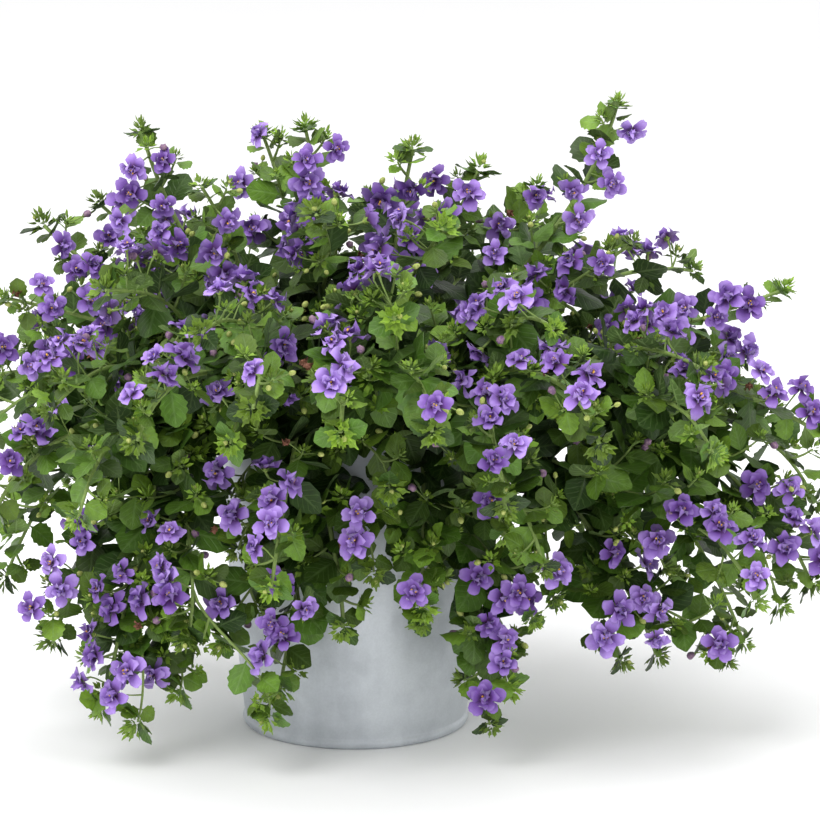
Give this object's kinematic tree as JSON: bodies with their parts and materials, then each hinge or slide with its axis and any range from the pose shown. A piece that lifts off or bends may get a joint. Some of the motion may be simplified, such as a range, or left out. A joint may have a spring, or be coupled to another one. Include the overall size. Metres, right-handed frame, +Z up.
{
  "type": "potted bacopa",
  "caption": "Flowering bacopa in a galvanised bucket pot, a wide mound of thin leafy stems with double lilac blooms that trails over the rim.",
  "frame": {"origin": "middle of the pot's flat base, on the surface that it stands on", "axes": "+Z up along the pot's axis, -Y to the front that the picture shows, +X to the right of it"},
  "size_m": [0.4774, 0.4301, 0.3414],
  "materials": {
    "galvanised_zinc": "matt galvanised sheet with soft cloudy reflections",
    "potting_soil": "rough, moist peat and bark",
    "foliage": "satin green leaves, yellow-green at the tips",
    "petals": "soft lilac petals, darker at the throat"
  },
  "bodies": {
    "root": {"pot": "galvanised_zinc", "soil": "potting_soil", "leafy_stem_tall_right": "foliage", "leafy_stem_top_centre": "foliage", "leafy_stem_top_left": "foliage", "leafy_stem_upper_left": "foliage", "leafy_stem_left_upper": "foliage", "leafy_stem_left": "foliage", "leafy_stem_left_lower": "foliage", "leafy_stem_bottom_left": "foliage", "leafy_stem_front_left": "foliage", "leafy_stem_front_centre": "foliage", "leafy_stem_front_trail": "foliage", "leafy_stem_front_right": "foliage", "leafy_stem_front_low": "foliage", "leafy_stem_right_lower": "foliage", "leafy_stem_right": "foliage", "leafy_stem_right_upper": "foliage", "leafy_stem_back_right": "foliage", "leafy_stem_back": "foliage", "leafy_stem_back_left": "foliage", "bloom_spray_01": "petals", "bloom_spray_02": "petals", "bloom_spray_03": "petals", "bloom_spray_04": "petals", "bloom_spray_05": "petals", "bloom_spray_06": "petals", "bloom_spray_07": "petals", "bloom_spray_08": "petals", "bloom_spray_09": "petals", "bloom_spray_10": "petals", "bloom_spray_11": "petals", "bloom_spray_12": "petals", "bloom_spray_13": "petals", "bloom_spray_14": "petals", "bloom_spray_15": "petals", "bloom_spray_16": "petals", "bloom_spray_17": "petals", "bloom_spray_18": "petals", "bloom_spray_19": "petals", "bloom_spray_20": "petals", "bloom_spray_21": "petals", "bloom_spray_22": "petals", "bloom_spray_23": "petals", "bloom_spray_24": "petals", "bloom_spray_25": "petals", "bloom_spray_26": "petals", "bloom_spray_27": "petals", "bloom_spray_28": "petals", "bloom_spray_29": "petals", "bloom_spray_30": "petals", "bloom_spray_31": "petals", "bloom_spray_32": "petals", "bloom_spray_33": "petals", "bloom_spray_34": "petals", "bloom_spray_35": "petals", "bloom_spray_36": "petals", "bloom_spray_37": "petals", "bloom_spray_38": "petals", "bloom_spray_39": "petals"}
  },
  "joints": []
}
